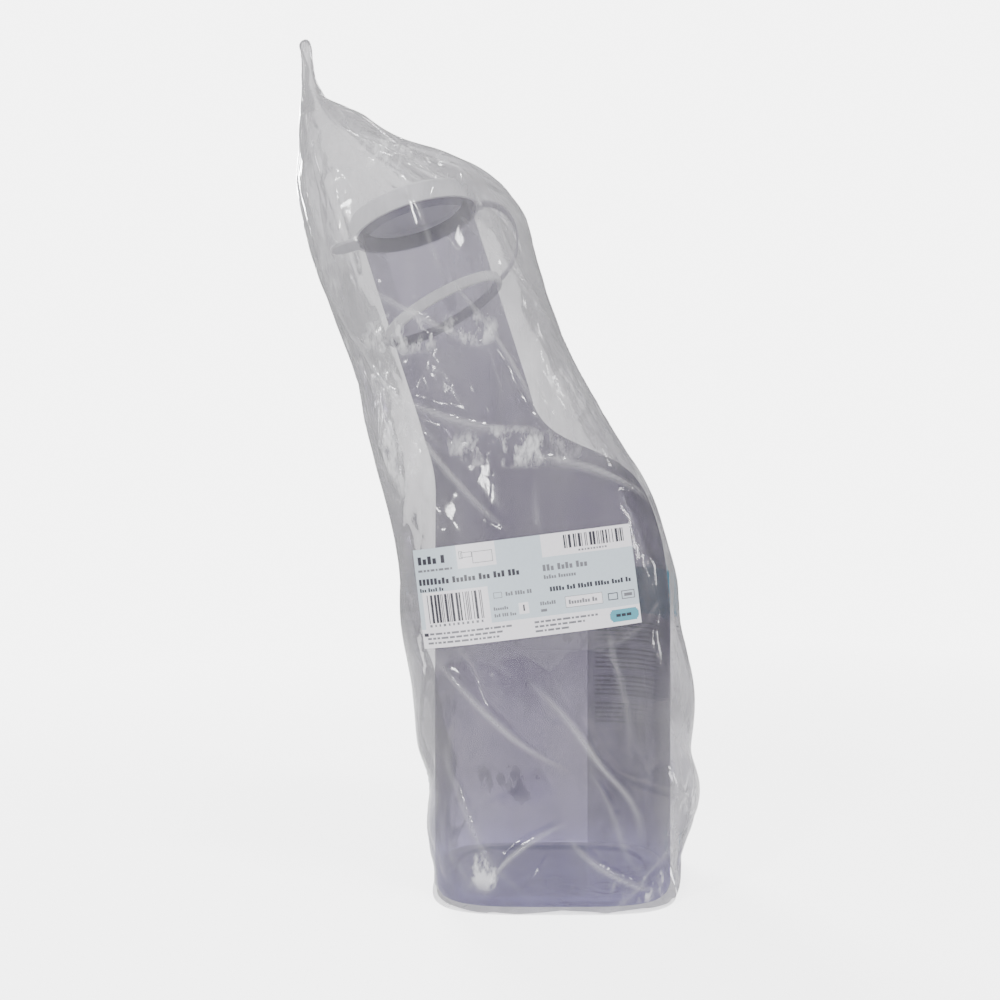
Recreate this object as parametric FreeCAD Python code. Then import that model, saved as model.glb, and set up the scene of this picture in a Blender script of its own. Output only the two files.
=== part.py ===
import FreeCAD, Part
import math
import os

# A urine bottle with a tethered snap lid, standing in its clear supply bag.
# Millimetres, +Z up. X runs across the bottle, the front is -Y, the neck leans towards -X.
# The origin is on the resting plane, under the middle of the bottle's base.

os.makedirs("parts", exist_ok=True)

V = FreeCAD.Vector

# ---------------------------------------------------------------- driving dimensions
BODY_LEFT = -56.0  # the body's flanks
BODY_RIGHT = 55.5
BODY_HALF_DEPTH = 42.0
WALL = 1.3  # blown wall of the bottle
BASE_Z = 0.8  # the bottle's foot, just above the bag's bottom
PUSH_UP = 2.4  # height of the recess under the base
FOOT_WIDTH = 9.0
HEEL_RISE = 4.6  # from the foot to the straight flanks
MARK_R = 7.0  # the round mould mark on the base
MARK_LINE = 1.0
MARK_DOT_R = 2.0
MARK_RISE = 0.5
MARK_SUNK = 0.45
MARK_X = 24.0
MARK_Y = -22.0

LEAN = 17.8  # degrees that the neck leans from upright
NECK_R = 28.0
LID_TOP = V(-68.8, 0, 326.5)  # middle of the lid's top face
RIM_DROP = 2.0  # from the lid's top down to the mouth's rim
BEAD_R = 30.2
BEAD_HEIGHT = 4.0

LID_R = 32.0
LID_SKIRT = 9.0
LID_PLATE = 1.5
SKIRT_GAP = 0.4
LIP_ROOT_R = 26.3
LIP_TIP_R = 24.7
LIP_DEPTH = 4.0
LIP_WALL = 1.2
TAB_REACH = 43.5
TAB_HALF_WIDTH = 7.0
TAB_THICK = 1.4

HINGE_U = 33.4  # the live hinge, beside the skirt's lower edge
HINGE_W = -8.6
HINGE_BEAD_R = 0.7
HINGE_GAP = 0.05
STRAP_WIDTH = 7.0
STRAP_THICK = 1.0

RING_DROP = 52.4
RING_TILT = 11.1  # degrees that the loose ring sags, past square to the neck
RING_INNER_R = 29.5
RING_OUTER_R = 31.6
RING_HEIGHT = 5.0

FILM = 0.6  # solid stand-in for the film, measured level
PANEL = 0.5  # the bag's bottom panel
STICKER_SIZE = (97.0, 44.0)
STICKER_MIDDLE = (-12.7, 144.6)
STICKER_TURN = 7.2
STICKER_GAP = 0.02
STICKER_THICK = 0.2
LEAFLET_WIDTH = 74.0
LEAFLET_HEIGHT = 148.0
LEAFLET_BACK_X = 20.0
LEAFLET_GAP = 0.6
LEAFLET_THICK = 0.2
LEAFLET_Z = 1.4

SECTION_POINTS = 40


# ---------------------------------------------------------------- shared shapes
def super_radius(angle, a, b, power):
    """Distance from the middle of a superellipse to its edge, at a polar angle."""
    across = abs(math.cos(angle) / a) ** power
    along = abs(math.sin(angle) / b) ** power
    return (across + along) ** (-1.0 / power)


def section(left, right, half_depth, power, inset=0.0):
    """A closed superellipse wire between two silhouette points, level along Y."""
    run = V(right[0] - left[0], 0, right[1] - left[1])
    middle = V((left[0] + right[0]) / 2, 0, (left[1] + right[1]) / 2)
    a = run.Length / 2 - inset
    b = half_depth - inset
    u = run.normalize()
    points = []
    for i in range(SECTION_POINTS):
        angle = 2 * math.pi * i / SECTION_POINTS
        r = super_radius(angle, a, b, power)
        points.append(middle + u * (r * math.cos(angle)) + V(0, r * math.sin(angle), 0))
    curve = Part.BSplineCurve()
    curve.interpolate(points, PeriodicFlag=True)
    return Part.Wire(curve.toShape())


def on_neck(shape):
    """Moves a shape from the neck's own frame (origin at the lid's top, w up the neck) into place."""
    placed = shape.copy()
    lean = FreeCAD.Placement(LID_TOP, FreeCAD.Rotation(V(0, 1, 0), -LEAN))
    placed.Placement = lean * shape.Placement
    return placed


def neck_point(u, w):
    """A point in the plane y = 0, given across and along the neck."""
    lean = math.radians(LEAN)
    x = LID_TOP.x + u * math.cos(lean) - w * math.sin(lean)
    z = LID_TOP.z + u * math.sin(lean) + w * math.cos(lean)
    return (x, z)


def turned(profile):
    """A solid of revolution about the w axis from (radius, w) points."""
    points = [V(r, 0, w) for r, w in profile]
    face = Part.Face(Part.makePolygon(points + points[:1]))
    return face.revolve(V(0, 0, 0), V(0, 0, 1), 360)


def tube(inner, outer, low, high):
    return turned([(inner, low), (outer, low), (outer, high), (inner, high)])


# ---------------------------------------------------------------- bottle
# left x, left z, right x, right z, half depth, superellipse power
SHOULDER = [
    (BODY_LEFT, 123.0, BODY_RIGHT, 123.0, BODY_HALF_DEPTH, 4.0),
    (BODY_LEFT, 136.0, 55.1, 137.0, BODY_HALF_DEPTH, 4.0),
    (BODY_LEFT, 150.0, 53.4, 153.5, BODY_HALF_DEPTH, 3.9),
    (BODY_LEFT, 163.5, 50.4, 169.5, 41.8, 3.7),
    (-56.0, 175.5, 45.5, 184.0, 41.2, 3.5),
    (-56.1, 184.5, 38.6, 195.5, 40.0, 3.2),
    (-56.5, 191.5, 27.9, 203.5, 38.2, 2.9),
    (-57.6, 198.5, 11.6, 211.0, 35.0, 2.6),
    (-59.2, 204.5, 0.5, 217.5, 32.2, 2.35),
    (-61.6, 211.5, -7.2, 226.5, 29.8, 2.15),
]
STRAIGHT = (6.0, 117.0)  # heights between which the flanks run straight up
STRAIGHT_LEAD = (120.0,)  # square sections that start the shoulder level
NECK_LEAD = (-99.0, -96.5, -94.0)  # round sections that end it in line with the neck


def body_section(z, inset):
    return section((BODY_LEFT, z), (BODY_RIGHT, z), BODY_HALF_DEPTH, 4.0, inset)


def neck_section(w, inset):
    return section(neck_point(-NECK_R, w), neck_point(NECK_R, w), NECK_R, 2.0, inset)


def heel(low, inset):
    """The rounded heel, from the foot up to the straight flanks."""
    rows = [(0.0, 3.6), (0.9, 1.9), (2.6, 0.7)]
    wires = [body_section(low + rise, inset + tuck) for rise, tuck in rows]
    wires.append(body_section(max(STRAIGHT[0], low + HEEL_RISE), inset))
    return Part.makeLoft(wires, True, False)


def bottle_form(low, inset, top):
    """The bottle's outer form, or with an inset its hollow, as four forms that share faces."""
    start = max(STRAIGHT[0], low + HEEL_RISE)
    flanks = Part.Face(body_section(start, inset)).extrude(V(0, 0, STRAIGHT[1] - start))
    wires = [body_section(STRAIGHT[1], inset)]
    wires += [body_section(z, inset) for z in STRAIGHT_LEAD]
    for x0, z0, x1, z1, depth, power in SHOULDER:
        wires.append(section((x0, z0), (x1, z1), depth, power, inset))
    wires += [neck_section(w, inset) for w in NECK_LEAD]
    shoulder = Part.makeLoft(wires, True, False)
    foot = neck_point(0, NECK_LEAD[-1])
    mouth = neck_point(0, top)
    neck_run = V(mouth[0] - foot[0], 0, mouth[1] - foot[1])
    neck = Part.Face(neck_section(NECK_LEAD[-1], inset)).extrude(neck_run)
    return heel(low, inset).fuse([flanks, shoulder, neck])


def base_mark():
    """A raised round mould mark on the base, towards the front right."""
    mark = tube(MARK_R - MARK_LINE, MARK_R, 0.0, MARK_RISE)
    dot = Part.makeCylinder(MARK_DOT_R, MARK_RISE)
    mark = mark.fuse(dot)
    mark.translate(V(MARK_X, MARK_Y, BASE_Z + PUSH_UP - MARK_SUNK))
    return mark


def bottle_shell():
    outer = bottle_form(BASE_Z, 0.0, -RIM_DROP)
    inner = bottle_form(BASE_Z + PUSH_UP + WALL, WALL, 6.0)
    recess_wire = section((BODY_LEFT, 0), (BODY_RIGHT, 0), BODY_HALF_DEPTH, 4.0, FOOT_WIDTH)
    recess = Part.Face(recess_wire).extrude(V(0, 0, BASE_Z + PUSH_UP))
    bead_low = -RIM_DROP - BEAD_HEIGHT
    inside = NECK_R - WALL / 2
    bead = turned(
        [
            (inside, bead_low - 2.0),
            (NECK_R + 0.1, bead_low - 2.0),
            (BEAD_R, bead_low),
            (BEAD_R, -RIM_DROP - 0.8),
            (BEAD_R - 0.7, -RIM_DROP - 0.1),
            (inside, -RIM_DROP - 0.1),
        ]
    )
    return outer.cut(inner).cut(recess).fuse(base_mark()).fuse(on_neck(bead))


# ---------------------------------------------------------------- lid, strap and ring
def hinge_barrel(radius, half_width):
    barrel = Part.makeCylinder(radius, 2 * half_width, V(0, -half_width, 0), V(0, 1, 0))
    barrel.translate(V(HINGE_U, 0, HINGE_W))
    return barrel


def lid_cap():
    skirt_inner = BEAD_R + SKIRT_GAP
    cap = turned(
        [
            (0, -LID_PLATE),
            (skirt_inner, -LID_PLATE),
            (skirt_inner, -LID_SKIRT),
            (LID_R, -LID_SKIRT),
            (LID_R, -1.2),
            (LID_R - 0.4, -0.4),
            (LID_R - 1.3, 0),
            (LID_R - 2.6, 0),
            (LID_R - 3.4, -0.5),
            (0, -0.5),
        ]
    )
    lip = turned(
        [
            (LIP_ROOT_R - LIP_WALL, -LID_PLATE + 0.1),
            (LIP_TIP_R - LIP_WALL * 0.7, -LIP_DEPTH),
            (LIP_TIP_R, -LIP_DEPTH),
            (LIP_ROOT_R, -LID_PLATE + 0.1),
        ]
    )
    straight = TAB_REACH - TAB_HALF_WIDTH
    start = LID_R - 1.0
    tab = Part.makeBox(straight - start, 2 * TAB_HALF_WIDTH, TAB_THICK, V(-straight, -TAB_HALF_WIDTH, 0))
    tab = tab.fuse(Part.makeCylinder(TAB_HALF_WIDTH, TAB_THICK, V(-straight, 0, 0)))
    ridge = Part.makeCylinder(0.8, 9.0, V(-straight - 3.0, -4.5, TAB_THICK), V(0, 1, 0))
    tab = tab.fuse(ridge)
    tab.translate(V(0, 0, -LID_SKIRT))
    lug_low = HINGE_W - 1.4
    lug = Part.makeBox(HINGE_U - LID_R + 0.5, STRAP_WIDTH, 1.5, V(LID_R - 0.5, -STRAP_WIDTH / 2, lug_low))
    lug = lug.cut(hinge_barrel(HINGE_BEAD_R + HINGE_GAP, STRAP_WIDTH))
    return on_neck(cap.fuse(lip).fuse(tab).fuse(lug).removeSplitter())


# The strap's middle line, across and along the neck, from the hinge to the ring.
STRAP_ROUTE = [
    (HINGE_U, HINGE_W),
    (38.0, -10.2),
    (42.6, -14.4),
    (45.2, -21.0),
    (45.2, -28.6),
    (42.0, -36.6),
    (36.6, -42.6),
    (30.6, -46.4),
]


def strap_outline():
    """The strap seen from the side: its middle line given a thickness both ways."""
    line = Part.BSplineCurve()
    line.interpolate([V(u, 0, w) for u, w in STRAP_ROUTE])
    steps = 24
    sides = ([], [])
    for i in range(steps + 1):
        at = line.FirstParameter + (line.LastParameter - line.FirstParameter) * i / steps
        point = line.value(at)
        along = line.tangent(at)[0]
        out = V(-along.z, 0, along.x) * (STRAP_THICK / 2)
        sides[0].append(point + out)
        sides[1].append(point - out)
    edges = []
    for side in sides:
        curve = Part.BSplineCurve()
        curve.interpolate(side)
        edges.append(curve.toShape())
    edges.append(Part.makeLine(sides[0][0], sides[1][0]))
    edges.append(Part.makeLine(sides[0][-1], sides[1][-1]))
    return Part.Face(Part.Wire(Part.sortEdges(edges)[0]))


def ring_at_rest(shape):
    """Tilts a shape from the ring's own frame to where the ring hangs on the neck."""
    hung = shape.copy()
    hung.Placement = FreeCAD.Placement(V(0, 0, -RING_DROP), FreeCAD.Rotation(V(0, 1, 0), -RING_TILT))
    return hung


def tether_strap():
    strap = strap_outline().extrude(V(0, STRAP_WIDTH, 0))
    strap.translate(V(0, -STRAP_WIDTH / 2, 0))
    strap = strap.fuse(hinge_barrel(HINGE_BEAD_R, STRAP_WIDTH / 2))
    ring_core = Part.makeCylinder(RING_OUTER_R, 3 * RING_HEIGHT, V(0, 0, -1.5 * RING_HEIGHT))
    return on_neck(strap.cut(ring_at_rest(ring_core)).removeSplitter())


def neck_ring():
    half = RING_HEIGHT / 2
    round_off = 0.5
    ring = turned(
        [
            (RING_INNER_R, -half + round_off),
            (RING_INNER_R + round_off, -half),
            (RING_OUTER_R - round_off, -half),
            (RING_OUTER_R, -half + round_off),
            (RING_OUTER_R, half - round_off),
            (RING_OUTER_R - round_off, half),
            (RING_INNER_R + round_off, half),
            (RING_INNER_R, half - round_off),
        ]
    )
    nub = Part.makeCylinder(2.2, 2.4, V(-RING_OUTER_R - 1.6, 0, 0), V(1, 0, 0))
    return on_neck(ring_at_rest(ring.fuse(nub).removeSplitter()))


# ---------------------------------------------------------------- bag, sticker and leaflet
# height, left x, right x, half depth, superellipse power
BAG = [
    (PANEL, -57.0, 58.0, 45.2, 4.0),
    (12.0, -58.6, 61.0, 46.4, 3.8),
    (30.0, -61.0, 64.6, 47.0, 3.6),
    (58.0, -61.8, 66.0, 47.2, 3.6),
    (86.0, -66.4, 65.0, 47.2, 3.6),
    (112.0, -71.0, 61.8, 47.2, 3.6),
    (135.0, -73.5, 59.0, 47.2, 3.6),
    (156.0, -74.0, 57.0, 47.2, 3.6),
    (180.0, -78.4, 50.0, 47.0, 3.4),
    (204.0, -84.4, 38.6, 47.0, 3.2),
    (226.0, -89.0, 23.4, 47.0, 3.0),
    (248.0, -93.0, 12.6, 48.0, 2.9),
    (270.0, -100.6, 3.5, 49.0, 2.8),
    (292.0, -108.4, -4.5, 50.0, 2.8),
    (313.0, -115.4, -11.0, 50.0, 2.7),
    (328.0, -120.0, -18.8, 48.0, 2.6),
    (338.0, -121.4, -32.0, 43.0, 2.5),
    (347.0, -121.8, -55.0, 35.0, 2.4),
    (354.0, -122.0, -70.0, 29.5, 2.3),
    (361.0, -122.0, -80.5, 25.0, 2.3),
    (367.0, -122.0, -87.5, 21.0, 2.2),
    (372.0, -122.0, -97.0, 17.0, 2.2),
    (378.0, -121.8, -108.5, 12.5, 2.1),
    (386.0, -121.8, -113.8, 8.0, 2.1),
    (393.0, -122.0, -116.2, 6.0, 2.0),
    (400.0, -122.4, -117.2, 4.2, 2.0),
    (408.0, -122.2, -118.2, 3.0, 2.0),
]


def bag_loft(inset, drop=0.0):
    wires = []
    for z, left, right, half_depth, power in BAG:
        wires.append(section((left, z), (right, z), half_depth, power, inset))
    loft = Part.makeLoft(wires, True, False)
    if drop:
        loft.translate(V(0, 0, -drop))
    return loft


def bag_film():
    outer = bag_loft(0.0)
    inner = bag_loft(FILM, 1.0)
    return outer.cut(inner)


def bag_bottom():
    z, left, right, half_depth, power = BAG[0]
    outline = section((left, 0), (right, 0), half_depth, power)
    return Part.Face(outline).extrude(V(0, 0, PANEL))


def pack_sticker():
    width, height = STICKER_SIZE
    block = Part.makeBox(width, 60.0, height, V(-width / 2, -60.0, -height / 2))
    corners = [e for e in block.Edges if abs(e.tangentAt(e.FirstParameter).y) > 0.9]
    block = block.makeFillet(2.0, corners)
    x, z = STICKER_MIDDLE
    block.Placement = FreeCAD.Placement(V(x, 0, z), FreeCAD.Rotation(V(0, 1, 0), -STICKER_TURN))
    return bag_loft(-STICKER_GAP - STICKER_THICK).common(block).cut(bag_loft(-STICKER_GAP))


def leaflet_line(gap):
    """Points along the leaflet seen from above, at a gap from the bottle's flank."""
    middle = (BODY_LEFT + BODY_RIGHT) / 2
    a = (BODY_RIGHT - BODY_LEFT) / 2 + gap
    b = BODY_HALF_DEPTH + gap
    points = []
    length = 0.0
    angle = math.radians(88)
    while length < LEAFLET_WIDTH:
        r = super_radius(angle, a, b, 4.0)
        point = V(middle + r * math.cos(angle), r * math.sin(angle), LEAFLET_Z)
        angle -= math.radians(2)
        if point.x < LEAFLET_BACK_X:
            continue
        if points:
            length += (point - points[-1]).Length
        points.append(point)
    return points


def leaflet():
    sides = [leaflet_line(gap) for gap in (LEAFLET_GAP, LEAFLET_GAP + LEAFLET_THICK)]
    edges = []
    for side in sides:
        curve = Part.BSplineCurve()
        curve.interpolate(side)
        edges.append(curve.toShape())
    edges.append(Part.makeLine(sides[0][0], sides[1][0]))
    edges.append(Part.makeLine(sides[0][-1], sides[1][-1]))
    face = Part.Face(Part.Wire(Part.sortEdges(edges)[0]))
    return face.extrude(V(0, 0, LEAFLET_HEIGHT))


NODES = {
    "bottle_shell": bottle_shell,
    "lid_cap": lid_cap,
    "tether_strap": tether_strap,
    "neck_ring": neck_ring,
    "bag_film": bag_film,
    "bag_bottom": bag_bottom,
    "pack_sticker": pack_sticker,
    "leaflet": leaflet,
}

for name, make in NODES.items():
    shape = make()
    box = shape.optimalBoundingBox()
    print(
        f"{name}: solids {len(shape.Solids)}, valid {shape.isValid()}, volume {shape.Volume:.0f} mm3, "
        f"x {box.XMin:.1f}..{box.XMax:.1f}, y {box.YMin:.1f}..{box.YMax:.1f}, z {box.ZMin:.1f}..{box.ZMax:.1f}"
    )
    shape.exportStep(f"parts/{name}.step")
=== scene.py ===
import math
import random

import bmesh
import bpy
import numpy as np
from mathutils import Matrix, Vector, geometry
from mathutils.bvhtree import BVHTree

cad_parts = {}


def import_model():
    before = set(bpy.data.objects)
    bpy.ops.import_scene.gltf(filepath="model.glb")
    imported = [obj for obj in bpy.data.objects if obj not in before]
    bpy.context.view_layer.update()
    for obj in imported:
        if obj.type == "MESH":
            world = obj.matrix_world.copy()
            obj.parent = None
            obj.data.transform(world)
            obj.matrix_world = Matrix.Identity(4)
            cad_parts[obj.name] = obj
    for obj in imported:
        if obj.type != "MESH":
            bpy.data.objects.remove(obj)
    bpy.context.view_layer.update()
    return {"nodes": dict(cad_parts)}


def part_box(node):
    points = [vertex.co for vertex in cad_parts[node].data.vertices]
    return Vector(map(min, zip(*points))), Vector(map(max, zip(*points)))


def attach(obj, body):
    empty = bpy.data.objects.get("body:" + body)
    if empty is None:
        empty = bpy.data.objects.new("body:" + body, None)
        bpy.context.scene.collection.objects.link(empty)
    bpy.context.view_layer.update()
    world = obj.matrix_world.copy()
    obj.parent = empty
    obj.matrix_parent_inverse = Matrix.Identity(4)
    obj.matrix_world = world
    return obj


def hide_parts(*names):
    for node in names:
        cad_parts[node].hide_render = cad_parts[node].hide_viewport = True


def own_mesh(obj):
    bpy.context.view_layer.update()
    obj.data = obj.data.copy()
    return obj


# Looks of a urine bottle that stands in its clear supply bag. Metres, +Z up, front at -Y.

MM = 0.001

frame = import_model()
nodes = frame["nodes"]

# ---------------------------------------------------------------- sizes
FAR = 1.0  # where rays towards the bag start, well outside it

FILM_COLUMNS = 340  # round the bag
FILM_ROW = 1.25 * MM  # between rows of the film's mesh
FILM_EDGE = 0.2 * MM  # first and last row, inside the bag's ends so that their rays meet it
FILM_SPLIT = 0.205  # the film is cut at this height into a lower and an upper piece
FILM_CLEAR = 0.5 * MM  # least gap between film and what is inside it
FILM_REACH = 8 * MM  # how far the film looks for things inside it
CLING_END = 7.5 * MM  # gap from which the film no longer clings
CLING_FADE = 5 * MM  # over which its cling grows to full

STICKER_SIZE = (97.0, 44.0)  # mm
STICKER_TURN = math.radians(7.2)
STICKER_PROUD = 0.45 * MM
STICKER_FADE = 9 * MM  # past the sticker's edge, until the film is free to crumple
LEAFLET_SIZE = (74.0, 148.0)  # mm
LEAFLET_HALF = 0.1 * MM  # of the leaflet's thickness

NECK_LEAN = math.radians(17.8)
NECK_AXIS = Vector((-math.sin(NECK_LEAN), 0, math.cos(NECK_LEAN)))
MOUTH = Vector((-0.0688, 0, 0.3265))
MIDLINE = [Vector((0, 0, 0.05)), Vector((0, 0, 0.11)), MOUTH]  # up the middle of body and neck
INNER_KEPT = 11 * MM  # depth below the lid's top to which the wall's inner face is kept
BASE_KEPT = 3.6 * MM  # below this height every face of the base is kept
SHARP = math.radians(35)  # edges of the bottle that turn by more than this stay sharp


# ---------------------------------------------------------------- helpers
def tree_of(obj):
    """A search tree of an object's mesh, in the row frame."""
    mesh = obj.data
    points = [obj.matrix_world @ v.co for v in mesh.vertices]
    return BVHTree.FromPolygons(points, [p.vertices[:] for p in mesh.polygons])


def new_mesh(name, points, faces):
    mesh = bpy.data.meshes.new(name)
    mesh.from_pydata([tuple(p) for p in points], [], faces)
    mesh.shade_smooth()
    mesh.update()
    obj = bpy.data.objects.new(name, mesh)
    bpy.context.scene.collection.objects.link(obj)
    return obj


def grid_faces(rows, columns, closed):
    """Quads of a grid whose points run row by row."""
    faces = []
    spans = columns if closed else columns - 1
    for j in range(rows - 1):
        for i in range(spans):
            k = (i + 1) % columns
            low, high = j * columns, (j + 1) * columns
            faces.append((low + i, low + k, high + k, high + i))
    return faces


def smoothstep(value, low, high):
    t = np.clip((value - low) / (high - low), 0, 1)
    return t * t * (3 - 2 * t)


# ---------------------------------------------------------------- materials
def material(name):
    made = bpy.data.materials.new(name)
    made.use_nodes = True
    made.node_tree.nodes.clear()
    return made


def fill(tree, socket, value):
    """Gives a socket its value, which may be another socket."""
    if isinstance(value, bpy.types.NodeSocket):
        tree.links.new(value, socket)
    else:
        socket.default_value = value


def add(tree, kind, **values):
    """A node with its sockets and settings filled in by name."""
    node = tree.nodes.new(kind)
    for key, value in values.items():
        words = key.replace("_", " ")
        if words in node.inputs:
            fill(tree, node.inputs[words], value)
        else:
            setattr(node, key, value)
    return node


def maths(tree, operation, *values, kind="ShaderNodeMath", **settings):
    """A maths node with its sockets filled in by order."""
    node = add(tree, kind, operation=operation, **settings)
    for socket, value in zip(node.inputs, values):
        fill(tree, socket, value)
    return node.outputs[0]


def scaled(tree, value, scale, offset=0.0):
    """value * scale + offset, held between 0 and 1."""
    return maths(tree, "MULTIPLY_ADD", value, scale, offset, use_clamp=True)


def finish_material(made, surface):
    add(made.node_tree, "ShaderNodeOutputMaterial", Surface=surface)
    return made


def colour_ramp(tree, factor, stops):
    """A ramp of (place, (red, green, blue)) stops."""
    node = add(tree, "ShaderNodeValToRGB", Fac=factor)
    while len(node.color_ramp.elements) < len(stops):
        node.color_ramp.elements.new(0.5)
    for element, (place, colour) in zip(node.color_ramp.elements, stops):
        element.position = place
        element.color = (*colour, 1)
    return node.outputs["Color"]


def ramp(tree, factor, stops):
    """A ramp of (place, grey) stops."""
    return colour_ramp(tree, factor, [(place, (grey, grey, grey)) for place, grey in stops])


def on_object(tree):
    return add(tree, "ShaderNodeTexCoord").outputs["Object"]


def mapped(tree, place, stretch, turn):
    """Places stretched, and turned about Y by degrees."""
    turned = (0, math.radians(turn), 0)
    node = add(tree, "ShaderNodeMapping", Vector=place, Scale=stretch, Rotation=turned)
    return node.outputs["Vector"]


def object_noise(tree, scale, detail=3.0, roughness=0.5, stretch=(1, 1, 1), turn=0):
    """Noise from 0 to 1 that stays with the object."""
    place = mapped(tree, on_object(tree), stretch, turn)
    node = add(tree, "ShaderNodeTexNoise", Vector=place, Scale=scale, Detail=detail, Roughness=roughness)
    return node.outputs["Fac"]


def faceted(tree, scale, wander, turn, stretch):
    """Straight-edged cells, like the flats between folds: 0 on a fold, rising away from it."""
    place = on_object(tree)
    noise = add(tree, "ShaderNodeTexNoise", Vector=place, Scale=scale * 0.6, Detail=2.0)
    drift = (noise.outputs["Color"], (wander, wander, wander), place)
    moved = maths(tree, "MULTIPLY_ADD", *drift, kind="ShaderNodeVectorMath")
    where = mapped(tree, moved, stretch, turn)
    cells = add(tree, "ShaderNodeTexVoronoi", Vector=where, Scale=scale, feature="DISTANCE_TO_EDGE")
    return cells.outputs["Distance"]


def bumped(tree, height, strength, distance, normal=None):
    """The normal of a surface raised by a height; it may start from another bump's normal."""
    node = add(tree, "ShaderNodeBump", Height=height, Strength=strength, Distance=distance)
    if normal is not None:
        fill(tree, node.inputs["Normal"], normal)
    return node.outputs["Normal"]


def mix_shaders(tree, factor, first, second):
    """The first shader at factor 0, the second at 1."""
    node = add(tree, "ShaderNodeMixShader", Fac=factor)
    tree.links.new(first, node.inputs[1])
    tree.links.new(second, node.inputs[2])
    return node.outputs["Shader"]


def diffuse(tree, colour, normal, kind="Diffuse"):
    return add(tree, f"ShaderNodeBsdf{kind}", Color=(*colour, 1), Normal=normal).outputs[0]


def glossed(tree, surface, normal, index, share, roughness):
    """A surface under a clear gloss that grows towards grazing view."""
    gloss = add(tree, "ShaderNodeBsdfGlossy", Color=(1, 1, 1, 1), Roughness=roughness, Normal=normal)
    shine = add(tree, "ShaderNodeFresnel", IOR=index, Normal=normal).outputs[0]
    return mix_shaders(tree, scaled(tree, shine, share), surface, gloss.outputs[0])


def film_material():
    """Thin clear film: mostly seen through, a light streaky haze, crisp folds, glints where crinkled,
    partly from fine facets under the lamps and partly painted as white flecks.

    The film's mesh says how finely it is crinkled, which is also where white flecks are painted as
    glints, where its fold lines (crest) run, which are painted whiter, partly as crease whitening and
    partly as a painted highlight, and how closely it clings to what is inside, where it looks clearer.
    """
    made = material("polythene_film")
    tree = made.node_tree
    crinkle_and_glint, crest, cling = (
        add(tree, "ShaderNodeAttribute", attribute_name=name).outputs["Fac"]
        for name in ("crinkle_and_glint", "crest", "cling")
    )
    broad = faceted(tree, 24.0, 0.03, 30, (1, 1, 0.5))
    small = faceted(tree, 85.0, 0.008, 40, (1, 1, 0.6))
    patches = ramp(tree, object_noise(tree, 16.0, 2.0, 0.5), [(0.45, 0.0), (0.62, 1.0)])
    some = scaled(tree, patches, 0.3, scaled(tree, crinkle_and_glint, 0.9, 0.08))
    normal = bumped(tree, broad, 0.85, 0.004)
    normal = bumped(tree, small, some, 0.003, normal)

    clear = add(tree, "ShaderNodeBsdfTransparent", Color=(0.94, 0.935, 0.95, 1))
    milk = (0.50, 0.49, 0.505)
    haze = diffuse(tree, milk, normal)
    through = diffuse(tree, milk, normal, "Translucent")
    body = mix_shaders(tree, 0.45, haze, through)
    edge = add(tree, "ShaderNodeLayerWeight", Blend=0.3, Normal=normal).outputs["Facing"]
    cloud = ramp(tree, object_noise(tree, 34.0, 3.0, 0.5), [(0.34, 0.11), (0.66, 0.26)])
    streaks = object_noise(tree, 30.0, 5.0, 0.7, (1, 1, 0.16), 28)
    streaks = ramp(tree, streaks, [(0.4, 0.0), (0.66, 0.22)])
    dense = scaled(tree, streaks, 1.0, scaled(tree, edge, 0.2, cloud))
    thinned = maths(tree, "MULTIPLY", dense, scaled(tree, cling, -0.65, 1.0), use_clamp=True)
    hazy = mix_shaders(tree, thinned, clear.outputs[0], body)

    # painted highlight: white flecks in the crinkled patches stand in for glints
    glint_speckle = object_noise(tree, 120.0, 5.0, 0.65, (1, 1, 0.45), 30)
    glint_speckle = ramp(tree, glint_speckle, [(0.5, 0.0), (0.62, 1.0)])
    painted_glints = maths(tree, "MULTIPLY", glint_speckle, scaled(tree, crinkle_and_glint, 0.6), use_clamp=True)
    # white along the fold crests, partly crease whitening and partly a painted highlight, plus the
    # painted glints
    whitening_and_painted_highlights = scaled(tree, crest, 0.24, painted_glints)
    film_with_painted_highlights = mix_shaders(tree, whitening_and_painted_highlights, hazy, diffuse(tree, (0.9, 0.9, 0.91), normal))
    return finish_material(made, glossed(tree, film_with_painted_highlights, normal, 1.5, 0.8, 0.11))


def clear_plastic_material():
    """Slightly blue, clear blow-moulded wall with a faint waviness, deeper in colour at its foot, and
    lighter to see through at the neck, partly for its lesser depth and partly as a painted highlight.
    """
    made = material("clear_blue_plastic")
    tree = made.node_tree
    normal = bumped(tree, object_noise(tree, 28.0, 2.0, 0.4, (1, 1, 0.5)), 0.2, 0.002)
    height = add(tree, "ShaderNodeSeparateXYZ", Vector=on_object(tree)).outputs["Z"]
    # see-through tint by height: darkest through the body; lighter at the neck, partly a painted
    # highlight for the glare there
    stops = [
        (0.0, (0.62, 0.59, 0.82)),
        (0.12, (0.375, 0.35, 0.42)),
        (0.6, (0.40, 0.375, 0.445)),
        (0.88, (0.63, 0.61, 0.68)),
    ]
    tint = colour_ramp(tree, scaled(tree, height, 3.0), stops)
    clear = add(tree, "ShaderNodeBsdfTransparent", Color=tint)
    wall = mix_shaders(tree, 0.06, clear.outputs[0], diffuse(tree, (0.50, 0.49, 0.62), normal))
    return finish_material(made, glossed(tree, wall, normal, 1.4, 0.3, 0.09))


def white_plastic_material(name, colour):
    """Milky low-density plastic with a soft sheen and faint mould grain."""
    made = material(name)
    tree = made.node_tree
    shader = add(
        tree,
        "ShaderNodeBsdfPrincipled",
        Base_Color=(*colour, 1),
        Roughness=ramp(tree, object_noise(tree, 60.0), [(0.3, 0.36), (0.7, 0.48)]),
        Normal=bumped(tree, object_noise(tree, 900.0, 3.0, 0.6), 0.12, 0.0002),
        Subsurface_Weight=0.35,
        Subsurface_Radius=(0.004, 0.004, 0.004),
    )
    return finish_material(made, shader.outputs[0])


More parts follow.
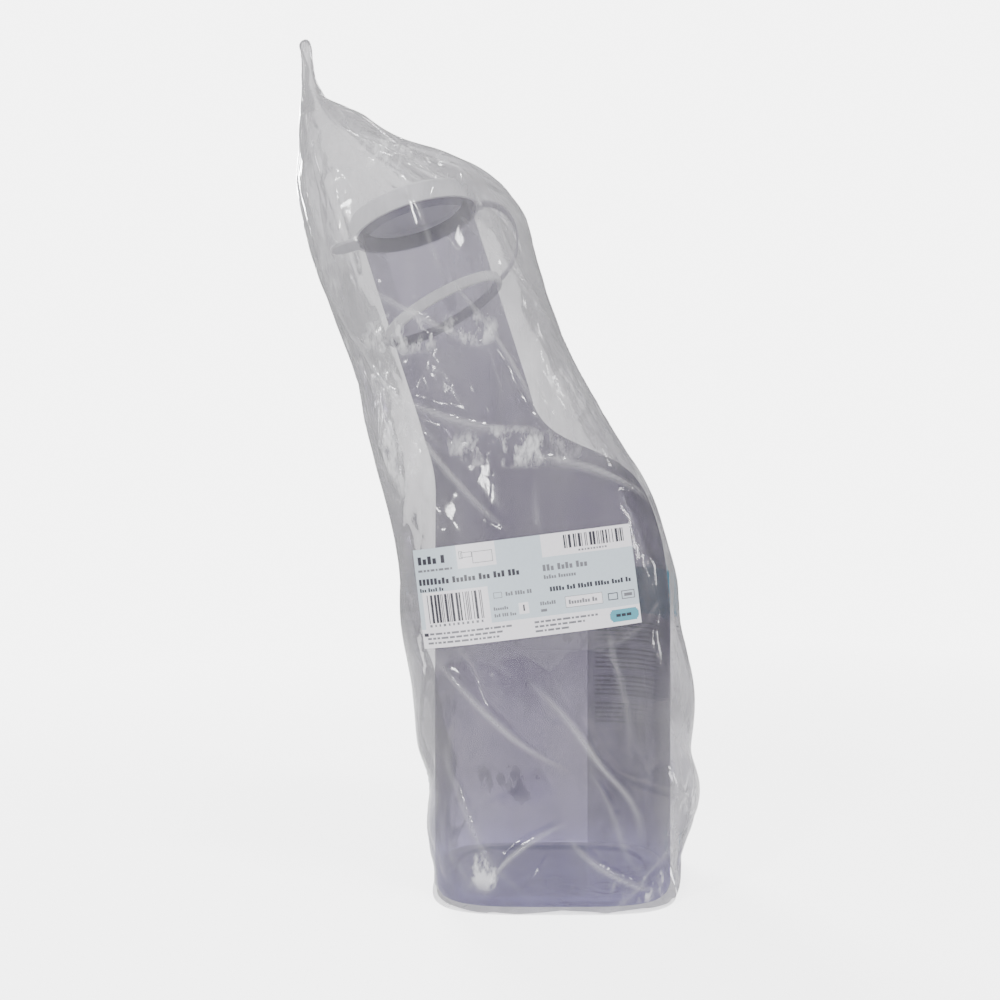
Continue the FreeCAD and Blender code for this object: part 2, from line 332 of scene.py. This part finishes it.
def print_material(name, colour):
    """Printed stock: one ink or paper colour with a faint fibre and gloss variation."""
    made = material(name)
    tree = made.node_tree
    fibre = object_noise(tree, 700.0, 3.0, 0.6)
    tint = tree.nodes.new("ShaderNodeMix")
    tint.data_type = "RGBA"
    tint.blend_type = "MULTIPLY"
    tint.inputs["Factor"].default_value = 0.12
    tint.inputs["A"].default_value = (*colour, 1)
    tree.links.new(ramp(tree, fibre, [(0.35, 0.7), (0.65, 1.0)]), tint.inputs["B"])
    shader = add(
        tree,
        "ShaderNodeBsdfPrincipled",
        Base_Color=tint.outputs["Result"],
        Roughness=0.32,
        Normal=bumped(tree, fibre, 0.05, 0.0002),
    )
    return finish_material(made, shader.outputs[0])


def thin_paper_material(name, colour):
    """Thin printed paper that lets some of the light behind it through."""
    made = material(name)
    tree = made.node_tree
    fibre = object_noise(tree, 500.0, 4.0, 0.6)
    normal = bumped(tree, fibre, 0.1, 0.0002)
    front = diffuse(tree, colour, normal)
    back = diffuse(tree, colour, normal, "Translucent")
    share = ramp(tree, fibre, [(0.3, 0.56), (0.7, 0.7)])
    return finish_material(made, mix_shaders(tree, share, front, back))


FILM = film_material()
CLEAR = clear_plastic_material()
WHITE = white_plastic_material("milky_white_plastic", (0.94, 0.94, 0.95))
THIN_WHITE = white_plastic_material("thin_milky_plastic", (0.50, 0.48, 0.54))
PAPER = print_material("label_white", (0.86, 0.83, 0.87))
FIELD = print_material("label_pale_teal", (0.56, 0.64, 0.70))
INK = print_material("label_dark_ink", (0.035, 0.033, 0.045))
GREY_INK = print_material("label_grey_ink", (0.17, 0.17, 0.19))
TEAL = print_material("label_teal", (0.10, 0.34, 0.42))
LEAF_PAPER = thin_paper_material("leaflet_paper", (0.95, 0.94, 0.97))
LEAF_TEAL = thin_paper_material("leaflet_teal", (0.0, 0.32, 0.52))
LEAF_INK = thin_paper_material("leaflet_ink", (0.12, 0.12, 0.16))


def paint(obj, *materials):
    obj.data.materials.clear()
    for made in materials:
        obj.data.materials.append(made)


# ---------------------------------------------------------------- the bottle, and CAD pieces that stay
def nearest_on(line, point):
    """The nearest point of a line of several points."""
    found = []
    for a, b in zip(line, line[1:]):
        share = geometry.intersect_point_line(point, a, b)[1]
        found.append(a.lerp(b, min(max(share, 0), 1)))
    return min(found, key=lambda p: (p - point).length)


def bottle_skin():
    """The bottle as its outer skin, with the wall's inner face only at the mouth.

    A clear wall is then crossed once, not twice, so its depth of colour is in the material.
    """
    source = nodes["bottle_shell"]
    mesh = source.data.copy()
    mesh.transform(source.matrix_world)
    work = bmesh.new()
    work.from_mesh(mesh)
    inner = []
    for face in work.faces:
        middle = face.calc_center_median()
        outward = middle - nearest_on(MIDLINE, middle)
        if face.normal.dot(outward) < 0 and middle.z > BASE_KEPT:
            inner.append(face)
    edges = {e for f in inner for e in f.edges}
    verts = {v for f in inner for v in f.verts}
    bmesh.ops.bisect_plane(
        work,
        geom=[*inner, *edges, *verts],
        plane_co=MOUTH - NECK_AXIS * INNER_KEPT,
        plane_no=NECK_AXIS,
        clear_inner=True,
    )
    work.to_mesh(mesh)
    work.free()
    made = bpy.data.objects.new("bottle_wall", mesh)
    bpy.context.scene.collection.objects.link(made)
    mesh.shade_smooth()
    mesh.set_sharp_from_angle(angle=SHARP)
    return made


bottle_wall = bottle_skin()
paint(bottle_wall, CLEAR)
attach(bottle_wall, "bottle")
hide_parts("bottle_shell")
paint(nodes["bag_bottom"], FILM)
paint(nodes["tether_strap"], THIN_WHITE)
for name in ("lid_cap", "neck_ring"):
    paint(nodes[name], WHITE)


# ---------------------------------------------------------------- the bag's film
# flats of the crumpled film: size, stretch, shear, seed, rise in mm, more of it above and at the foot
FLATS = [
    (0.050, 1.8, -0.45, 11, 2.2, 1.6, 0.0),
    (0.023, 1.7, -0.60, 12, 1.2, 1.4, 0.0),
    (0.0105, 1.5, -0.40, 13, 0.35, 0.35, 0.4),
]
RANDOM_FOLDS = 46
FOLDS_SEED = 7
# long folds on the front: middle x and z, length, lean in degrees, bend, width and rise in mm
FRONT_FOLDS = [
    (-0.044, 0.218, 0.075, -18, 2.0, 2.6, 2.8),
    (0.018, 0.196, 0.066, -21, -2.0, 2.6, 2.6),
    (-0.049, 0.198, 0.076, -65, 1.5, 2.4, 2.4),
    (-0.022, 0.250, 0.074, -72, -1.5, 2.6, 2.6),
    (-0.060, 0.262, 0.060, -32, 2.0, 2.4, 2.4),
    (-0.090, 0.250, 0.110, -68, 0.6, 2.8, 2.2),
    (-0.026, 0.086, 0.080, -46, 1.5, 2.6, 1.8),
    (0.016, 0.070, 0.090, -58, -1.0, 2.6, 1.6),
    (-0.018, 0.027, 0.050, 45, -3.0, 2.2, 2.2),
    (0.024, 0.018, 0.056, -31, 2.0, 2.2, 2.2),
    (-0.085, 0.345, 0.060, -58, 3.0, 2.6, 2.6),
    (-0.060, 0.340, 0.050, -40, -2.0, 2.4, 2.2),
]
# crinkled patches, where white glints are also painted on the film: middle x, side (-1 front, 1 back),
# middle z, half width, half height
CRINKLED_AND_GLINTING = [
    (-0.075, -1, 0.343, 0.014, 0.015),
    (-0.064, -1, 0.256, 0.022, 0.009),
    (-0.036, -1, 0.258, 0.012, 0.008),
    (-0.070, -1, 0.208, 0.013, 0.026),
    (-0.020, -1, 0.206, 0.030, 0.009),
    (-0.031, -1, 0.020, 0.016, 0.009),
    (0.040, -1, 0.012, 0.018, 0.008),
    (0.046, -1, 0.196, 0.010, 0.012),
    (-0.100, -1, 0.250, 0.008, 0.020),
    (-0.050, 1, 0.290, 0.020, 0.030),
    (0.020, 1, 0.120, 0.025, 0.020),
    (-0.030, 1, 0.030, 0.030, 0.012),
]

bag_tree = tree_of(nodes["bag_film"])
inside = [bottle_wall] + [nodes[name] for name in ("lid_cap", "tether_strap", "neck_ring", "leaflet")]
inside_trees = [tree_of(obj) for obj in inside]


def hit(origin, direction):
    """Where a ray meets the CAD bag, or None."""
    return bag_tree.ray_cast(origin, direction)[0]


def film_middle(z):
    """Middle of the bag's level section at a height, and its half width."""
    left = hit(Vector((-FAR, 0, z)), Vector((1, 0, 0))).x
    right = hit(Vector((FAR, 0, z)), Vector((-1, 0, 0))).x
    return (left + right) / 2, (right - left) / 2


def smooth_film():
    """The bag's plain outer surface as an array of rows round the bag."""
    low, high = (corner[2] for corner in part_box("bag_film"))
    count = int((high - low) / FILM_ROW)
    rows = []
    for j in range(count + 1):
        z = low + FILM_EDGE + (high - low - 2 * FILM_EDGE) * j / count
        middle, half = film_middle(z)
        row = []
        for i in range(FILM_COLUMNS):
            angle = math.pi / 2 + 2 * math.pi * i / FILM_COLUMNS
            out = Vector((math.cos(angle), math.sin(angle), 0))
            start = Vector((middle, 0, z)) + out * FAR
            found = hit(start, -out)
            row.append(found if found is not None else Vector((middle, 0, z)) + out * half)
        rows.append(row)
    return np.array([[tuple(p) for p in row] for row in rows])


def grid_normals(points):
    """Outward normals of a grid that closes round its columns."""
    around = np.roll(points, -1, 1) - np.roll(points, 1, 1)
    up = np.gradient(points, axis=0)
    normals = np.cross(around, up)
    return normals / np.maximum(np.linalg.norm(normals, axis=2, keepdims=True), 1e-12)


def facets(girth, height, cell, stretch, shear, seed):
    """Height field of a crumpled sheet: flat facets between scattered peaks, joined by crisp folds.

    Returns a function of arrays (s, z), s round the bag and z up it. It closes round the girth.
    """
    rng = random.Random(seed)
    across = max(4, round(girth / cell))
    width, rise = girth / across, cell * stretch
    levels = range(-2, int(height / rise) + 4)
    drawn = [[[rng.uniform(-1, 1) for _ in range(3)] for _ in range(across)] for _ in levels]
    jitter = 0.36  # of a cell, so that no facet turns over
    verts = []
    for k, line in zip(levels, drawn):
        for i in range(-across, 2 * across + 1):
            shift_s, shift_z, level = line[i % across]
            t = (k + jitter * shift_z) * rise
            verts.append(Vector(((i + jitter * shift_s) * width + shear * t, t, level * MM)))
    columns = 3 * across + 1
    faces = []
    for j in range(len(levels) - 1):
        for i in range(columns - 1):
            a = j * columns + i
            b, c, d = a + 1, a + columns + 1, a + columns
            first = drawn[j][(i - across) % across][0] > 0
            faces += [(a, b, c), (a, c, d)] if first else [(a, b, d), (b, c, d)]
    field = BVHTree.FromPolygons(verts, faces)
    down = Vector((0, 0, -1))

    def at(s, z):
        flat_z = z.ravel()
        flat_s = s.ravel() % girth + shear * flat_z
        out = np.zeros(flat_s.size)
        for k in range(flat_s.size):
            found = field.ray_cast(Vector((flat_s[k], flat_z[k], 1.0)), down)[0]
            out[k] = 0.0 if found is None else found.z / MM
        return out.reshape(s.shape)

    return at


def fold(s, z, at_s, at_z, turn, length, bend, width, rise, girth):
    """One drawn-out fold: a sharp crest with hollow flanks, fading at its ends.

    Returns its height, in mm, and its line: 1 on the crest, 0 a few mm away.
    """
    ds = (s - at_s + girth / 2) % girth - girth / 2
    dz = z - at_z
    along = ds * math.cos(turn) + dz * math.sin(turn)
    off = -ds * math.sin(turn) + dz * math.cos(turn) - 2.6 * bend * (along**2 + 6 * along**3)
    fade = np.clip(1 - (2 * along / length) ** 2, 0, 1) ** 1.5
    spread = width * (0.55 + 0.45 * np.sqrt(fade))
    crest = 1.35 * np.exp(-np.abs(off) / spread)
    flanks = 0.35 * np.exp(-((off / (2.6 * spread)) ** 2))
    return rise * fade * (crest - flanks), fade * np.exp(-((off / (1.1 * MM)) ** 2))


sticker_low, sticker_high = (Vector(corner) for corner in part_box("pack_sticker"))
STICKER_MIDDLE = (sticker_low + sticker_high) / 2
STICKER_RIGHT = Vector((math.cos(STICKER_TURN), 0, math.sin(STICKER_TURN)))
STICKER_UP = Vector((-math.sin(STICKER_TURN), 0, math.cos(STICKER_TURN)))


def sticker_share(points):
    """1 under the sticker, fading to 0 a little way past its edge."""
    rel = points - np.array(STICKER_MIDDLE)
    across = np.abs(rel @ np.array(STICKER_RIGHT)) - STICKER_SIZE[0] / 2 * MM
    along = np.abs(rel @ np.array(STICKER_UP)) - STICKER_SIZE[1] / 2 * MM
    share = 1 - smoothstep(np.maximum(across, along), 0, STICKER_FADE)
    return np.where(points[..., 1] < STICKER_MIDDLE.y / 2, share, 0)


def crumple(base):
    """How far each point of the film stands out from the plain surface, in metres, and its fold lines.

    Nearly 0 under the sticker, and less where the bag narrows to its tail.
    """
    steps = np.linalg.norm(np.roll(base, -1, 1) - base, axis=2)
    s = np.concatenate([np.zeros((base.shape[0], 1)), np.cumsum(steps, 1)[:, :-1]], 1)
    girths = steps.sum(1)
    girth = float(np.median(girths))
    s = s / girths[:, None] * girth
    z = base[..., 2]
    top = float(z.max())
    upper = smoothstep(z, 0.17, 0.26)
    tail = smoothstep(z, 0.335, 0.375)
    foot = 1 - smoothstep(z, 0.012, 0.05)
    out = np.zeros(z.shape)
    for cell, stretch, shear, seed, rise, above, below in FLATS:
        level = facets(girth, top, cell, stretch, shear, seed)(s, z)
        out += (rise + above * upper + below * foot) * level

    crest = np.zeros(z.shape)
    front = base[..., 1].argmin(1)
    for at_x, at_z, length, lean, bend, width, rise in FRONT_FOLDS:
        row = int(np.abs(z[:, 0] - at_z).argmin())
        at_s = s[row, front[row]] + at_x - base[row, front[row], 0]
        height, line = fold(s, z, at_s, at_z, math.radians(lean), length, bend, width * MM, rise, girth)
        out += height
        crest = np.maximum(crest, line)
    rng = random.Random(FOLDS_SEED)
    for _ in range(RANDOM_FOLDS):
        at_z = rng.uniform(0.0, 0.37)
        lean = math.radians(rng.gauss(105, 24))
        at_s = rng.uniform(0, girth)
        length = rng.uniform(0.04, 0.13)
        bend = rng.uniform(-5, 5)
        width = rng.uniform(2.2, 3.6) * MM
        rise = rng.choice([-1, 1]) * rng.uniform(0.7, 1.9)
        height, line = fold(s, z, at_s, at_z, lean, length, bend, width, rise, girth)
        out += height
        crest = np.maximum(crest, 0.4 * line)
    calm = 1 - 0.93 * sticker_share(base)
    narrow = np.minimum(1, 0.25 + girths[:, None] / girth)
    return out * calm * narrow * (1 - 0.55 * tail) * MM, crest * calm


def crinkle_and_glint_share(base):
    """0 to 1: how finely crinkled the film is, in patches like thumb marks; white glints are painted
    there too.
    """
    x, y, z = base[..., 0], base[..., 1], base[..., 2]
    share = np.zeros(z.shape)
    for at_x, side, at_z, wide, tall in CRINKLED_AND_GLINTING:
        near = ((x - at_x) / wide) ** 2 + ((z - at_z) / tall) ** 2
        share = np.maximum(share, np.where(y * side > 0, np.clip(1.25 - near, 0, 1), 0))
    return share * (1 - sticker_share(base))


def spread_out(push, times):
    """Blurs a grid of pushes so that the film leaves what it touches gently; never less than it was."""
    soft = push.copy()
    for _ in range(times):
        soft = (np.roll(soft, 1, 1) + np.roll(soft, -1, 1) + 2 * soft) / 4
        inner = soft.copy()
        inner[1:-1] = (soft[2:] + soft[:-2] + 2 * soft[1:-1]) / 4
        soft = np.maximum(inner, 0.92 * push)
    return np.maximum(soft, push)


def keep_outside(points, normals):
    """Moves film points out until they clear everything inside the bag.

    Also returns how closely the film clings: 1 against what is inside, 0 from CLING_END off.
    """
    push = np.zeros(points.shape[:2])
    cling = np.zeros(points.shape[:2])
    for j, i in np.ndindex(push.shape):
        p, n = Vector(points[j, i]), Vector(normals[j, i])
        for tree in inside_trees:
            near, face_normal, _, gap = tree.find_nearest(p, FILM_REACH)
            if near is None:
                continue
            cling[j, i] = max(cling[j, i], min((CLING_END - gap) / CLING_FADE, 1))
            beyond = (p - near).dot(face_normal)
            if beyond < FILM_CLEAR:
                push[j, i] += FILM_CLEAR - beyond
                p = p + n * (FILM_CLEAR - beyond)
    return points + normals * spread_out(push, 6)[..., None], cling


def film_pieces():
    """The film as two pieces, below and above FILM_SPLIT, of one crumpled surface."""
    base = smooth_film()
    normals = grid_normals(base)
    rise, crest = crumple(base)
    # how finely crinkled, and where the painted white glints go
    crinkle_and_glint = crinkle_and_glint_share(base)
    moved = base + normals * rise[..., None]
    moved[..., 2] = np.maximum(moved[..., 2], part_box("bag_film")[0][2])
    moved, cling = keep_outside(moved, normals)
    fields = {"crinkle_and_glint": crinkle_and_glint, "crest": crest, "cling": cling}
    shade = grid_normals(moved).reshape(-1, 3)
    rows, columns = moved.shape[:2]
    split = int(np.searchsorted(moved[:, :, 2].mean(1), FILM_SPLIT))
    made = []
    for name, start, stop in (("film_lower", 0, split + 1), ("film_upper", split, rows)):
        part = moved[start:stop].reshape(-1, 3)
        count = stop - start
        faces = grid_faces(count, columns, True)
        points = list(part)
        piece_normals = list(shade[start * columns : stop * columns])
        shares = {key: list(field[start:stop].ravel()) for key, field in fields.items()}
        if stop == rows:
            tip = part[-columns:].mean(0)
            points.append(tip)
            piece_normals.append((0, 0, 1))
            for share in shares.values():
                share.append(0.0)
            last = (count - 1) * columns
            faces += [(last + i, last + (i + 1) % columns, len(points) - 1) for i in range(columns)]
        piece = new_mesh(name, points, faces)
        piece.data.normals_split_custom_set_from_vertices([tuple(n) for n in piece_normals])
        for key, share in shares.items():
            piece.data.attributes.new(key, "FLOAT", "POINT").data.foreach_set("value", share)
        paint(piece, FILM)
        made.append(piece)
    return made


film_lower, film_upper = film_pieces()
for piece in (film_lower, film_upper):
    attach(piece, "bag")
    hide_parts("bag_film")
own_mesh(film_upper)


# ---------------------------------------------------------------- sticker and leaflet
def lines_between(edges, size, step):
    """Grid lines at every printed edge, and no further apart than step."""
    marks = sorted({0.0, size, *[e for e in edges if 0 < e < size]})
    lines = []
    for low, high in zip(marks, marks[1:]):
        if high - low < 1e-4:
            continue
        parts = max(1, math.ceil((high - low) / step))
        lines += [low + (high - low) * i / parts for i in range(parts)]
    return lines + [size]


def printed(name, size, place, inks, areas, step=3.0):
    """A printed sheet: a grid cut along the edges of the printed areas, each face given its ink.

    place(s, t) gives the point at s across and t up, in mm. areas are (s0, s1, t0, t1, ink number);
    later ones lie on earlier ones.
    """
    across = lines_between([e for a in areas for e in a[:2]], size[0], step)
    up = lines_between([e for a in areas for e in a[2:4]], size[1], step)
    points = [place(s, t) for t in up for s in across]
    faces = grid_faces(len(up), len(across), False)
    obj = new_mesh(name, points, faces)
    paint(obj, *inks)
    chosen = np.zeros(len(faces), np.int32)
    middle_s = (np.array(across[1:]) + np.array(across[:-1])) / 2
    middle_t = (np.array(up[1:]) + np.array(up[:-1])) / 2
    grid_s, grid_t = np.meshgrid(middle_s, middle_t)
    for s0, s1, t0, t1, ink in areas:
        inside = (grid_s > s0) & (grid_s < s1) & (grid_t > t0) & (grid_t < t1)
        chosen[inside.ravel()] = ink
    obj.data.polygons.foreach_set("material_index", chosen)
    return obj


def dashes(s0, s1, t0, t1, ink, seed, shortest=1.2, longest=4.5, gap=0.7):
    """A row of generic dashes in place of a line of words."""
    rng = random.Random(seed)
    areas = []
    s = s0
    while s < s1 - shortest:
        end = min(s1, s + rng.uniform(shortest, longest))
        areas.append((s, end, t0, t1, ink))
        s = end + gap
    return areas


def words(s0, s1, t0, t1, ink, seed, most=8):
    """A line of generic blocks, in groups, each block about as wide as a letter would be."""
    rng = random.Random(seed)
    areas = []
    size = t1 - t0
    wide, gap = 0.46 * size, 0.17 * size
    s = s0
    while s < s1 - wide:
        for k in range(rng.randint(3, most)):
            if s > s1 - wide:
                break
            tall = rng.random() < 0.3 or k == 0
            areas.append((s, s + wide, t0, t1 if tall else t0 + 0.7 * size, ink))
            s += wide + gap
        s += 2.5 * gap
    return areas


def bars(s0, s1, t0, t1, ink, seed, module=0.36):
    """Upright bars of a few widths, like a bar code that says nothing."""
    rng = random.Random(seed)
    areas = []
    s = s0
    while s < s1 - module:
        width = module * rng.choice([1, 1, 2, 3])
        areas.append((s, min(s + width, s1), t0, t1, ink))
        s += width + module * rng.choice([1, 1, 2, 3])
    return areas


def frame_lines(s0, s1, t0, t1, ink, line=0.25):
    """The outline of a box."""
    return [
        (s0, s1, t0, t0 + line, ink),
        (s0, s1, t1 - line, t1, ink),
        (s0, s0 + line, t0, t1, ink),
        (s1 - line, s1, t0, t1, ink),
    ]


def sticker_areas():
    """The sticker's print, in mm from its lower left corner; all words and codes say nothing."""
    field, white, dark, grey, teal = range(5)
    areas = [
        (0, 97, 0, 8.4, white),
        (2, 31.5, 8.4, 24.6, white),
        (19.6, 36.8, 33.6, 44, white),
        (57, 97, 34, 44, white),
        (44, 48.4, 10.6, 15.6, white),
        (64.5, 81, 10.8, 15.8, white),
    ]
    areas += bars(4, 29, 10.9, 23.4, dark, 21)
    areas += dashes(4, 29, 9.2, 10.3, grey, 22, 0.7, 1.1, 1.2)
    areas += bars(67, 94, 36.8, 42.7, dark, 23)
    areas += dashes(73, 86, 35.0, 35.8, grey, 24, 0.6, 1.0, 0.5)
    areas += words(1.8, 15.6, 37.0, 40.6, dark, 25, 5)
    areas += dashes(1.4, 18, 33.8, 34.8, grey, 26, 0.8, 2.5, 0.5)
    areas += words(1.2, 47, 27.9, 30.7, dark, 27)
    areas += words(1.2, 12, 24.9, 26.6, dark, 28)
    areas += words(39, 50.6, 19.3, 21.1, grey, 29, 4)
    areas += frame_lines(33.6, 37.4, 18.8, 21.4, grey)
    areas += words(33, 40.6, 13.5, 15.0, grey, 30)
    areas += words(33, 42.6, 10.5, 12.0, grey, 31)
    areas += [(45.9, 46.6, 11.8, 14.6, dark)]
    areas += words(56.5, 77.5, 28.0, 30.8, grey, 32, 6)
    areas += words(56.5, 71.5, 24.5, 26.3, grey, 33, 11)
    areas += words(58.5, 95, 18.8, 20.9, dark, 34, 5)
    areas += words(53.5, 61.4, 13.3, 14.9, grey, 35)
    areas += dashes(53.5, 58.2, 10.4, 11.6, grey, 36, 2.0, 4.0, 0.6)
    areas += frame_lines(64.5, 81, 10.8, 15.8, grey, 0.2)
    areas += words(66, 79.6, 12.3, 14.2, grey, 37)
    areas += frame_lines(83.4, 87.8, 11.6, 14.8, dark, 0.4)
    areas += frame_lines(89.4, 95.4, 11.4, 15.2, grey, 0.4)
    areas += [(90.6, 94.2, 12.6, 14.0, grey)]
    # a round-ended badge
    areas += [(84.2, 95.2, 1.8, 7.2, teal), (83.6, 95.8, 2.5, 6.5, teal), (83.2, 96.2, 3.2, 5.8, teal)]
    areas += dashes(86, 93.6, 3.9, 5.2, dark, 38, 1.4, 2.4, 0.4)
    for k, t in enumerate((5.7, 3.7, 1.7)):
        areas += dashes(3.4 - 1.2 * min(k, 1), 40 - 3 * k, t, t + 0.9, grey, 40 + k, 0.8, 3.4, 0.6)
        areas += dashes(50, 78 - 6 * k, t + 0.1, t + 1.0, grey, 50 + k, 0.8, 3.4, 0.6)
    areas += [(0.8, 2.8, 5.2, 6.7, dark)]
    # a bottle lying on its side: body, neck and rim
    areas += frame_lines(26.4, 35.4, 35.3, 40.4, grey)
    areas += frame_lines(21.4, 26.4, 38.2, 40.6, grey)
    areas += frame_lines(20.6, 22.2, 37.8, 41.2, grey)
    return areas


def on_sticker(s, t, proud):
    """A point on the front of the film under the sticker's (s, t), standing proud of it."""
    across = STICKER_RIGHT * (s - STICKER_SIZE[0] / 2) * MM
    flat = STICKER_MIDDLE + across + STICKER_UP * (t - STICKER_SIZE[1] / 2) * MM
    found = hit(Vector((flat.x, -FAR, flat.z)), Vector((0, 1, 0)))
    return found + Vector((0, -proud, 0))


sticker = printed(
    "sticker_print",
    STICKER_SIZE,
    lambda s, t: on_sticker(s, t, STICKER_PROUD),
    (FIELD, PAPER, INK, GREY_INK, TEAL),
    sticker_areas(),
)
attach(sticker, "bag")
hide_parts("pack_sticker")


def leaflet_route():
    """Points along the leaflet's middle, seen from above, from the back round to the side."""
    tree = tree_of(nodes["leaflet"])
    low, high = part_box("leaflet")
    start = Vector((0, 0, (low[2] + high[2]) / 2))
    route = []
    for k in range(400):
        angle = math.radians(90 - 0.25 * k)
        out = Vector((math.cos(angle), math.sin(angle), 0))
        found = tree.ray_cast(start, out)[0]
        if found is not None:
            route.append(found + out * LEAFLET_HALF)
    return route


def along_route(route):
    """A function from a distance along the route, in mm, to its point."""
    steps = [0.0]
    for a, b in zip(route, route[1:]):
        steps.append(steps[-1] + (b - a).length / MM)
    scale = steps[-1] / LEAFLET_SIZE[0]
    table = np.array([tuple(p) for p in route])
    reach = np.array(steps) / scale

    def at(s):
        return Vector([float(np.interp(s, reach, table[:, axis])) for axis in range(3)])

    return at


def leaflet_areas():
    """The leaflet's print, in mm from its lower corner at the back; its lines say nothing."""
    _, teal, ink = range(3)
    width, height = LEAFLET_SIZE
    areas = [(0, width, height - 24.5, height, teal)]
    # lines of words, in groups of five with a short last one
    t = height - 30
    row = 0
    while t > 62:
        last = row % 5 == 4
        end = width - 14 if last else width - 4
        areas += dashes(4, end, t, t + 0.9, ink, 60 + row, 1.5, 7.0, 0.8)
        t -= 5.0 if last else 2.4
        row += 1
    # a slender drawing, narrow at its top
    for k in range(14):
        half = 0.9 + 1.9 * math.sin(math.pi * k / 13) ** 2 if k > 3 else 0.8
        areas.append((58 - half, 58 + half, 56 - 1.7 * (k + 1), 56 - 1.7 * k, ink))
    # a round badge
    for k in range(6):
        half = 4.6 * math.sqrt(1 - ((k - 2.5) / 3) ** 2)
        areas.append((64 - half, 64 + half, 8 + 2.2 * k, 8 + 2.2 * (k + 1), teal))
    return areas


leaflet_at = along_route(leaflet_route())
leaflet_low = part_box("leaflet")[0][2]


def on_leaflet(s, t):
    """The point of the leaflet at s along it and t up, in mm."""
    point = leaflet_at(s)
    point.z = leaflet_low + t * MM
    return point


leaflet = printed(
    "leaflet_print", LEAFLET_SIZE, on_leaflet, (LEAF_PAPER, LEAF_TEAL, LEAF_INK), leaflet_areas(), 2.0
)
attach(leaflet, "bag")
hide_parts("leaflet")


# ---------------------------------------------------------------- floor, light and camera
def camera_looks(tree):
    """Two shares: 1 where the camera looks straight at something, and 1 where it looks at all.

    Straight means with less than two layers of clear film or wall in front.
    """
    path = tree.nodes.new("ShaderNodeLightPath")
    bare = maths(tree, "LESS_THAN", path.outputs["Transparent Depth"], 1.5)
    from_camera = path.outputs["Is Camera Ray"]
    return maths(tree, "MULTIPLY", bare, from_camera), from_camera


def floor():
    """A plain pale floor that fades into the backdrop some way off."""
    bpy.ops.mesh.primitive_circle_add(vertices=96, radius=4.0, fill_type="NGON")
    made = bpy.context.object
    made.name = "floor"
    surface = material("floor_pale")
    tree = surface.node_tree
    matt = add(tree, "ShaderNodeBsdfDiffuse", Color=(0.95, 0.95, 0.95, 1))
    bare, _ = camera_looks(tree)
    strength = maths(tree, "MULTIPLY_ADD", bare, 2.8, 0.55)
    glow = add(tree, "ShaderNodeEmission", Color=(1, 1, 1, 1), Strength=strength)
    lit = tree.nodes.new("ShaderNodeAddShader")
    tree.links.new(matt.outputs[0], lit.inputs[0])
    tree.links.new(glow.outputs[0], lit.inputs[1])
    away = add(tree, "ShaderNodeVectorMath", operation="LENGTH")
    tree.links.new(on_object(tree), away.inputs[0])
    gone = ramp(tree, scaled(tree, away.outputs["Value"], 1.0), [(0.3, 0.0), (0.95, 1.0)])
    clear = add(tree, "ShaderNodeBsdfTransparent")
    finish_material(surface, mix_shaders(tree, gone, lit.outputs[0], clear.outputs[0]))
    made.data.materials.append(surface)


def lamp(name, place, target, size, power):
    """A soft panel, turned towards its target."""
    data = bpy.data.lights.new(name, "AREA")
    data.shape = "RECTANGLE"
    data.size, data.size_y = size
    data.energy = power
    obj = bpy.data.objects.new(name, data)
    obj.location = place
    obj.rotation_euler = (Vector(target) - Vector(place)).to_track_quat("-Z", "Y").to_euler()
    bpy.context.scene.collection.objects.link(obj)


def world():
    """Even studio light; the backdrop is white where it is seen bare, softer through the film."""
    made = bpy.data.worlds.new("studio")
    made.use_nodes = True
    tree = made.node_tree
    tree.nodes.clear()
    light = add(tree, "ShaderNodeBackground", Color=(0.95, 0.955, 0.97, 1), Strength=0.6)
    behind = add(tree, "ShaderNodeBackground", Color=(0.97, 0.97, 0.965, 1), Strength=1.8)
    backdrop = add(tree, "ShaderNodeBackground", Color=(1.0, 1.0, 1.0, 1), Strength=6.0)
    bare, from_camera = camera_looks(tree)
    seen = mix_shaders(tree, bare, behind.outputs[0], backdrop.outputs[0])
    both = mix_shaders(tree, from_camera, light.outputs[0], seen)
    add(tree, "ShaderNodeOutputWorld", Surface=both)
    bpy.context.scene.world = made


def camera():
    data = bpy.data.cameras.new("camera")
    data.lens = 33.1
    data.shift_x = -0.02
    data.shift_y = 0.02
    obj = bpy.data.objects.new("camera", data)
    obj.location = (-0.0156, -0.450, 0.174)
    obj.rotation_euler = (math.pi / 2, 0, 0)
    bpy.context.scene.collection.objects.link(obj)
    bpy.context.scene.camera = obj


floor()
world()
# name, place, target, width and height, power
MIDDLE = (0, 0, 0.2)
lamp("key", (-0.75, -0.9, 1.0), MIDDLE, (0.16, 0.16), 9)
lamp("side", (1.0, -0.6, 0.5), MIDDLE, (0.07, 0.7), 5)
lamp("rear", (-0.5, 1.1, 0.8), MIDDLE, (0.5, 0.3), 24)
lamp("top", (0.15, -0.35, 1.3), MIDDLE, (0.14, 0.14), 7)
lamp("low", (-0.35, -1.1, 0.12), (0, 0, 0.15), (0.1, 0.1), 3)
camera()
